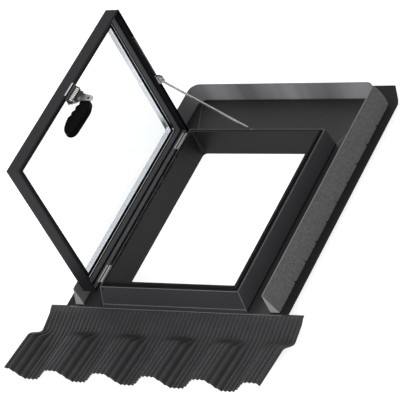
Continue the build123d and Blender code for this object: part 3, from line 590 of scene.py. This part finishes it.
gripSet = {
    "weatherX": -289.0, "midZ": 487.0, "halfThick": 10.0, "centre": (88.0, -74.0), "squeeze": (0.1, 0.04),
    "rings": 9, "edgeAngle": 86, "fullness": 0.45, "cornerCut": 0.14, "cornerPull": 0.05,
    "outline": [(66, -11.5), (101, -11.5), (107.5, -27), (111, -38), (112.5, -50), (111.5, -93), (110.5, -117),
                (108, -129), (102, -136), (92, -138), (80, -134), (72.5, -124), (67, -110), (63.5, -97), (60.5, -79),
                (66, -70), (62.5, -57.5), (69.5, -48.5), (65, -36), (73, -26)],
    "plugAt": (-206.5, 5.0, 487.0), "plugSteps": 24,
    "plug": [(0.0, -1.9), (4.1, -1.9), (4.4, -1.55), (3.15, -1.5), (3.15, 1.5), (4.4, 1.55), (4.1, 1.9), (0.0, 1.9)],
}
outline = [Vector(p) for p in gripSet["outline"]]
fine = []
for i, point in enumerate(outline):
    before, after = outline[i - 1], outline[(i + 1) % len(outline)]
    fine += [point.lerp(before, gripSet["cornerCut"]), point.lerp((before + after) / 2, gripSet["cornerPull"]),
             point.lerp(after, gripSet["cornerCut"])]
bm = bmesh.new()
rings = []
centre = Vector(gripSet["centre"])
for i in range(gripSet["rings"]):
    angle = math.radians(gripSet["edgeAngle"] * (2 * i / (gripSet["rings"] - 1) - 1))
    full = math.cos(angle) ** gripSet["fullness"]
    squeezeX, squeezeY = [1 - share * (1 - full) for share in gripSet["squeeze"]]
    z = gripSet["midZ"] + gripSet["halfThick"] * math.sin(angle)
    ring = []
    for point in fine:
        away = point - centre
        x = gripSet["weatherX"] + centre.x + away.x * squeezeX
        ring.append(bm.verts.new(Vector((x, centre.y + away.y * squeezeY, z)) * mm))
    rings.append(ring)
joinRings(bm, rings)
bm.faces.new(rings[0])
bm.faces.new(rings[-1])
# the grip's moulding goes through the lever's hole as a headed plug
lathe(bm, gripSet["plugAt"], gripSet["plug"], gripSet["plugSteps"], upright=True)
grip = fromBmesh("gripMoulded", bm, finishes["grip_plastic"])
for face in grip.data.polygons:
    face.use_smooth = len(face.vertices) == 4
settle(grip, "handle", "grip_plastic", "handle_grip")


# Painted shade: dark strips laid on each hinge for the gaps between its two bright bars

slotSet = {"x": -250.5, "z": 56.0, "middles": (-248.0, 268.0), "half": 30.5, "wide": 2.3, "tall": 0.5}
slotLines = [[(slotSet["x"], middle + side * slotSet["half"], slotSet["z"]) for side in (-1, 1)]
             for middle in slotSet["middles"]]
hingeGapShade = beadAlong("hingeGapShades", slotLines, slotSet["wide"], slotSet["tall"], pinSteel)
settle(hingeGapShade, "sash", "fitting_steel")


# Bright domed rivet in the corner of the glazing, above the upper hinge

rivetSet = {
    "place": (-269.7, 285.0, 86.0), "steps": 20,
    "dome": [(0.0, 0.0), (3.6, 0.0), (3.5, 0.8), (3.0, 1.6), (2.1, 2.2), (1.0, 2.5), (0.0, 2.6)],
}
bm = bmesh.new()
lathe(bm, (0, 0, 0), rivetSet["dome"], rivetSet["steps"], upright=True)
# turned to face into the room when the sash is shut
toRoom = Matrix.Translation(Vector(rivetSet["place"]) * mm) @ Matrix.Rotation(math.radians(90), 4, "Y")
bmesh.ops.transform(bm, matrix=toRoom, verts=bm.verts)
rivet = fromBmesh("cornerRivetHead", bm, brightZinc)
for face in rivet.data.polygons:
    face.use_smooth = True
settle(rivet, "sash", "fitting_steel")


# Sheet cladding on the curb's right side, in a grey lighter than the other flashing sheet: painted light on this shaded
# side

cladSet = {
    "section": [(230.4, 63.5), (238.9, 8.0), (240.3, 8.0), (231.8, 63.5)],
    "frontYs": (-304.0, -323.0, -323.0, -304.0), "backY": 303.5,
}
cladFront = [(x, y, z) for (x, z), y in zip(cladSet["section"], cladSet["frontYs"])]
cladBack = [(x, cladSet["backY"], z) for x, z in cladSet["section"]]
settle(prism("curbCladding", [cladFront, cladBack], cladLitSheet), "frame", "flashing_metal")


# Toothed rack on the handle's bracket: a sloped block with bright teeth across it

blockSet = {
    "weatherX": -289.0, "ys": (-11.0, 44.0),
    "section": [(22.5, 489.4), (34.0, 489.4), (27.0, 496.1), (22.5, 496.1)],
}
blockEnds = [[(blockSet["weatherX"] + depth, y, z) for depth, z in blockSet["section"]] for y in blockSet["ys"]]
settle(prism("rackBlock", blockEnds, zincFlakeDull), "sash", "fitting_steel")

# blocks in a row, tilted about Y; lengths in metres, the tilt in radians
rowSizes = ["Count", "Size X", "Size Y", "Size Z", "Start X", "Start Y", "Start Z", "Step Y", "Step Z", "Tilt"]
rowTree, sizes = newTree("blocksInRow", rowSizes)
first = addNode(rowTree, "ShaderNodeCombineXYZ", X=sizes["Start X"], Y=sizes["Start Y"], Z=sizes["Start Z"]).outputs[0]
step = addNode(rowTree, "ShaderNodeCombineXYZ", Y=sizes["Step Y"], Z=sizes["Step Z"]).outputs[0]
row = addNode(rowTree, "GeometryNodeMeshLine", Count=sizes["Count"], Start_Location=first, Offset=step).outputs["Mesh"]
size = addNode(rowTree, "ShaderNodeCombineXYZ", X=sizes["Size X"], Y=sizes["Size Y"], Z=sizes["Size Z"]).outputs[0]
cube = addNode(rowTree, "GeometryNodeMeshCube", Size=size).outputs["Mesh"]
tilt = addNode(rowTree, "ShaderNodeCombineXYZ", Y=sizes["Tilt"]).outputs[0]
blocks = addNode(rowTree, "GeometryNodeInstanceOnPoints", Points=row, Instance=cube, Rotation=tilt).outputs["Instances"]
closeTree(rowTree, blocks, None)


def blockRow(name, rowDef, material):
    rowInputs = {**inMetres(rowDef), "Count": rowDef["Count"], "Tilt": math.radians(rowDef["Tilt"])}
    obj = bakeTree(newObject(name), rowTree, rowInputs)
    dress(obj, material)
    return obj


toothSet = {
    "Count": 8, "Size X": 8.4, "Size Y": 3.6, "Size Z": 1.6, "Tilt": 43.7,
    "Start X": -258.3, "Start Y": -7.0, "Start Z": 492.9, "Step Y": 6.2, "Step Z": 0,
}
settle(blockRow("rackTeeth", toothSet, brightZinc), "sash", "fitting_steel")

# dark notched cover on the stay plate's strip, with slits of bright plate left between its blocks
trackSet = {
    "Count": 16, "Size X": 6.3, "Size Y": 0.4, "Size Z": 8.4, "Tilt": 0,
    "Start X": -248.0, "Start Y": 310.45, "Start Z": 280.0, "Step Y": 0, "Step Z": 9.3,
}
settle(blockRow("stayTrackCover", trackSet, finishes["grip_plastic"]), "sash", "grip_plastic")


# Painted highlight lines on the edge folds: front cover, sill, curb ledge and the tray's corner creases

foldSet = {
    "radius": 0.8,
    "lines": {
        "coverTop": [(-230, -305.2, 64.6), (230, -305.2, 64.6)],
        "coverLeft": [(-239.6, -324.5, 5.0), (-230, -304.9, 64.4)],
        "coverRight": [(239.6, -324.5, 5.0), (230, -304.9, 64.4)],
        "sillUpturn": [(-238, -322.9, 12.4), (238, -322.9, 12.4)],
        "sillFront": [(-354, -330.6, 3.7), (354, -330.6, 3.7)],
        "ledgeLeft": [(-229.6, -303, 64.6), (-229.6, 304.6, 64.6)],
        "ledgeBack": [(-229, 304.6, 64.6), (229, 304.6, 64.6)],
        "ledgeRight": [(229.6, -303, 64.6), (229.6, 304.6, 64.6)],
        "creaseLeft": [(-241, 306, 2.5), (-303, 476, 2.5)],
        "creaseRight": [(241, 306, 2.5), (303, 476, 2.5)],
    },
}
folds = beadAlong("edgeFoldHighlights", foldSet["lines"].values(), foldSet["radius"], foldSet["radius"], foldHighlight)
settle(folds, "frame", "flashing_metal")


# Flat rings round the sash: rubber in the rebate and on the skirt's rim, grey facings, the cover on the pane's edge

ringSet = {
    "weatherX": -289.0, "bottomZ": 53.0, "width": 476.0, "halfLength": 313.5,
    "rebate": {"insets": (22.9, 27.0), "depths": (19.6, 20.1)},
    "rim": {"insets": (-0.35, 1.5), "depths": (38.5, 44.6), "sides": (1, 2, 3)},
    "facing": {"insets": (6.0, 22.6), "depths": (19.6, 19.8)},
    "hingeFacing": {"insets": (1.5, 1.8), "depths": (24.0, 37.0), "sides": (0,)},
    "paneEdge": {"insets": (36.0, 43.6), "depths": (5.0, 5.2)},
}


def flatRing(name, shape, material, slot):
    # sides count from the hinge stile over the top rail; a ring that leaves some out gets end faces
    sides = shape.get("sides", (0, 1, 2, 3))
    bm = bmesh.new()
    loops = []
    for inset, depth in ((0, 0), (0, 1), (1, 1), (1, 0)):
        i, x = shape["insets"][inset], ringSet["weatherX"] + shape["depths"][depth]
        y, low, high = ringSet["halfLength"] - i, ringSet["bottomZ"] + i, ringSet["bottomZ"] + ringSet["width"] - i
        loops.append([bm.verts.new(Vector(p) * mm) for p in ((x, -y, low), (x, y, low), (x, y, high), (x, -y, high))])
    for a, b in zip(loops, loops[1:] + loops[:1]):
        for i in sides:
            bm.faces.new((a[i], a[(i + 1) % 4], b[(i + 1) % 4], b[i]))
    if len(sides) < 4:
        bm.faces.new([loop[sides[0]] for loop in loops])
        bm.faces.new([loop[(sides[-1] + 1) % 4] for loop in loops])
    bmesh.ops.delete(bm, geom=[v for v in bm.verts if not v.link_faces], context="VERTS")
    settle(fromBmesh(name, bm, material), "sash", slot)


flatRing("rebateSeal", ringSet["rebate"], finishes["seal_rubber"], "seal_rubber")
flatRing("rimSeal", ringSet["rim"], finishes["seal_rubber"], "seal_rubber")
flatRing("railFacing", ringSet["facing"], facingGrey, "sash_metal")
flatRing("hingeStileFacing", ringSet["hingeFacing"], facingGrey, "sash_metal")
flatRing("paneEdgeCover", ringSet["paneEdge"], finishes["spacer_metal"], "spacer_metal")


# Stay bar with rounded edges, its eye, and the hook stub at its foot

barSet = {
    "pivot": (-237.0, 308.3, 260.5), "length": 281.0, "dropAngle": 42.8, "start": 6.0,
    "halfThick": 2.0, "halfWide": 3.75, "round": 1.1, "roundSteps": 4,
    "eye": [(2.55, -1.5), (7.2, -1.5), (8.0, -0.8), (8.0, 0.8), (7.2, 1.5), (2.55, 1.5)],
    "foot": [(0.0, -2.2), (2.0, -2.2), (2.2, -2.0), (3.2, -2.0), (3.75, -1.2), (3.75, 1.2), (3.2, 2.0), (0.0, 2.0)],
}
drop = math.radians(barSet["dropAngle"])
along = Vector((math.cos(drop), 0, -math.sin(drop)))
across = Vector((math.sin(drop), 0, math.cos(drop)))
pivot = Vector(barSet["pivot"])
foot = pivot + along * barSet["length"]
section = []
for quarter, (signWide, signThick) in enumerate(((1, 1), (-1, 1), (-1, -1), (1, -1))):
    for i in range(barSet["roundSteps"] + 1):
        turn = math.radians(90 * (quarter + i / barSet["roundSteps"]))
        section.append((signWide * (barSet["halfWide"] - barSet["round"]) + barSet["round"] * math.cos(turn),
                        signThick * (barSet["halfThick"] - barSet["round"]) + barSet["round"] * math.sin(turn)))
bm = bmesh.new()
ends = [[bm.verts.new((at + across * wide + Vector((0, thick, 0))) * mm) for wide, thick in section]
        for at in (pivot + along * barSet["start"], foot)]
joinRings(bm, ends)
for end in ends:
    bm.faces.new(end)
lathe(bm, pivot, barSet["eye"])
lathe(bm, foot, barSet["foot"])
settle(fromBmesh("stayBar", bm, drawnSteel), "stay", "fitting_steel", "stay_rod")


# Black rim on the upper edge of the stay's ear, behind the rod

rimSet = {
    "pivot": (-237.0, 260.5), "angles": (40, 150), "steps": 14,
    "section": [(12.6, 310.5), (16.1, 310.5), (16.6, 311.0), (16.6, 311.9), (12.6, 311.9)],
}
pivotX, pivotZ = rimSet["pivot"]
start, end = rimSet["angles"]
bm = bmesh.new()
loops = []
for i in range(rimSet["steps"] + 1):
    angle = math.radians(start + (end - start) * i / rimSet["steps"])
    c, s = math.cos(angle), math.sin(angle)
    loops.append([bm.verts.new(Vector((pivotX + radius * c, y, pivotZ + radius * s)) * mm)
                  for radius, y in rimSet["section"]])
joinRings(bm, loops)
bm.faces.new(loops[0])
bm.faces.new(loops[-1])
settle(fromBmesh("stayEarRim", bm, finishes["grip_plastic"]), "sash", "grip_plastic")
print("pieces made")


# Stage: pale floor below the curb, soft light, camera of the photograph

stageSet = {
    "floorLevel": -28.0, "floorSize": 40.0, "floorColour": "d2d2d2", "floorGlow": 0.8, "floorRough": 0.9,
    "cameraAt": (4480.52, -4367.14, 4765.63), "lens": 254.27, "sensor": 36.0, "farClip": 100,
    "right": (0.81710, 0.40511, -0.41016), "forward": (-0.57635, 0.55806, -0.59698),
    "worldColour": "f2f4f6", "worldStrength": 0.5,
}
white = (1, 1, 1, 1)


def seenRays(tree):
    # 1 for rays that see the stage directly, in gloss or through glass
    path = addNode(tree, "ShaderNodeLightPath").outputs
    seen = addNode(tree, "ShaderNodeMath", larger, i0=path["Is Camera Ray"], i1=path["Is Glossy Ray"]).outputs[0]
    return addNode(tree, "ShaderNodeMath", larger, i0=seen, i1=path["Is Transmission Ray"]).outputs[0]


bpy.ops.mesh.primitive_plane_add(size=stageSet["floorSize"], location=(0, 0, stageSet["floorLevel"] * mm))
floor = bpy.context.object
floor.name = "floor"
floorMat, tree, shader, where = newMaterial("studioFloorPale")
# the floor glows to white where it is seen, and its diffuse part keeps the shadow
glow = addNode(tree, "ShaderNodeMath", times, i0=seenRays(tree), i1=stageSet["floorGlow"])
tree.links.new(glow.outputs[0], shader.inputs["Emission Strength"])
shader.inputs["Emission Color"].default_value = white
shader.inputs["Base Color"].default_value = hexColour(stageSet["floorColour"])
shader.inputs["Roughness"].default_value = stageSet["floorRough"]
shader.inputs["Specular IOR Level"].default_value = 0.0
floor.data.materials.append(floorMat)

world = bpy.data.worlds.new("studioWorld")
bpy.context.scene.world = world
world.use_nodes = True
tree = world.node_tree
tree.nodes.clear()
soft = addNode(tree, "ShaderNodeBackground", Color=hexColour(stageSet["worldColour"]), Strength=stageSet["worldStrength"])
bright = addNode(tree, "ShaderNodeBackground", Color=white, Strength=1.0)
mix = addNode(tree, "ShaderNodeMixShader", i0=seenRays(tree), i1=soft.outputs[0], i2=bright.outputs[0])
addNode(tree, "ShaderNodeOutputWorld", Surface=mix.outputs[0])

# lamps, with places and sizes in metres
lampSet = {
    "front": {"at": (0.7, -3.4, 1.9), "aim": (0, 0.2, 0.1), "size": (2.2, 1.4), "watts": 95},
    "side": {"at": (3.4, 0.4, 2.6), "aim": (0, 0.1, 0.1), "size": (1.6, 2.0), "watts": 12},
    "top": {"at": (-1.4, 1.0, 3.4), "aim": (0, 0, 0.1), "size": (2.4, 2.4), "watts": 34},
}
for name, lampDef in lampSet.items():
    light = bpy.data.lights.new(name, "AREA")
    light.shape = "RECTANGLE"
    light.size, light.size_y = lampDef["size"]
    light.energy = lampDef["watts"]
    lamp = bpy.data.objects.new(name, light)
    bpy.context.collection.objects.link(lamp)
    lamp.location = lampDef["at"]
    lamp.rotation_euler = (Vector(lampDef["aim"]) - Vector(lampDef["at"])).to_track_quat("-Z", "Y").to_euler()

camData = bpy.data.cameras.new("photoCamera")
camData.lens = stageSet["lens"]
camData.sensor_width = stageSet["sensor"]
camData.clip_end = stageSet["farClip"]
camera = bpy.data.objects.new("photoCamera", camData)
bpy.context.collection.objects.link(camera)
right = Vector(stageSet["right"]).normalized()
back = -Vector(stageSet["forward"]).normalized()
turn = Matrix((right, back.cross(right), back)).transposed().to_4x4()
camera.matrix_world = Matrix.Translation(Vector(stageSet["cameraAt"]) * mm) @ turn
bpy.context.scene.camera = camera
bpy.context.scene.view_settings.view_transform = "Standard"
print("stage set")
